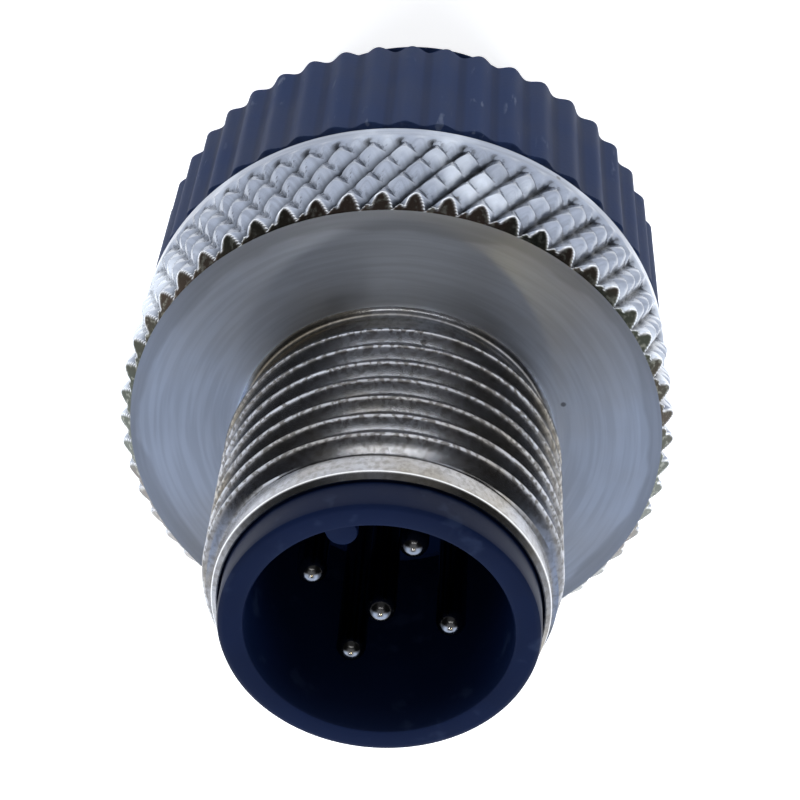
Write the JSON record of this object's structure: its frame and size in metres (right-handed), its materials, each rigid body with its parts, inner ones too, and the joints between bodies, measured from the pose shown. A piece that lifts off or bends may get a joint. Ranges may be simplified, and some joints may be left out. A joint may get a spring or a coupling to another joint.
{
  "type": "m12 connector",
  "caption": "Straight round cable plug with a knurled threaded locking ring, a keyed insulator with round contact pins, and a ribbed housing with a cable gland.",
  "frame": {"origin": "centre of the gland nut's rear face, on the plug's axis", "axes": "+Z along the plug's axis from the cable end to the contacts, +Y through the key"},
  "size_m": [0.02, 0.02, 0.0305],
  "materials": {
    "nickel_ring": "nickel-plated, turned and knurled",
    "insert_plastic": "moulded, smooth satin",
    "contact_metal": "plated, polished",
    "block_plastic": "moulded, matt",
    "screw_steel": "zinc-plated",
    "seal_rubber": "matt rubber",
    "housing_plastic": "moulded, matt, finely ribbed",
    "cage_plastic": "moulded, matt",
    "washer_steel": "stamped, plain"
  },
  "bodies": {
    "plug_core": {"contact_insert": "insert_plastic", "terminal_block": "block_plastic", "contact_pin_1": "contact_metal", "contact_pin_2": "contact_metal", "contact_pin_3": "contact_metal", "contact_pin_4": "contact_metal", "contact_pin_5": "contact_metal", "terminal_screw_1": "screw_steel", "terminal_screw_2": "screw_steel", "terminal_screw_3": "screw_steel", "terminal_screw_4": "screw_steel", "terminal_screw_5": "screw_steel", "body_seal": "seal_rubber"},
    "ring": {"locking_ring": "nickel_ring"},
    "gland_core": {"cable_seal": "seal_rubber", "clamp_cage": "cage_plastic"},
    "housing": {"housing": "housing_plastic"},
    "washer": {"thrust_washer": "washer_steel"},
    "nut": {"gland_nut": "housing_plastic"}
  },
  "joints": [
    {"name": "ring_turn", "type": "hinge", "parent": "plug_core", "child": "ring", "pos_m": [0, 0, 0.022], "axis": [0, 0, 1], "continuous": true},
    {"name": "housing_travel", "type": "slide", "parent": "plug_core", "child": "gland_core", "axis": [0, 0, -1], "range_m": [0, 0.00225]},
    {"name": "housing_unscrew", "type": "hinge", "parent": "gland_core", "child": "housing", "pos_m": [0, 0, 0.011], "axis": [0, 0, -1], "range_deg": [0, 1080]},
    {"name": "nut_travel", "type": "slide", "parent": "housing", "child": "washer", "axis": [0, 0, -1], "range_m": [0, 0.00225]},
    {"name": "nut_unscrew", "type": "hinge", "parent": "washer", "child": "nut", "pos_m": [0, 0, 0.003], "axis": [0, 0, -1], "range_deg": [0, 1080]}
  ],
  "couplings": [
    {"joint": "housing_unscrew", "follows": "housing_travel", "rad_per_m": 8377.6},
    {"joint": "nut_unscrew", "follows": "nut_travel", "rad_per_m": 8377.6}
  ]
}
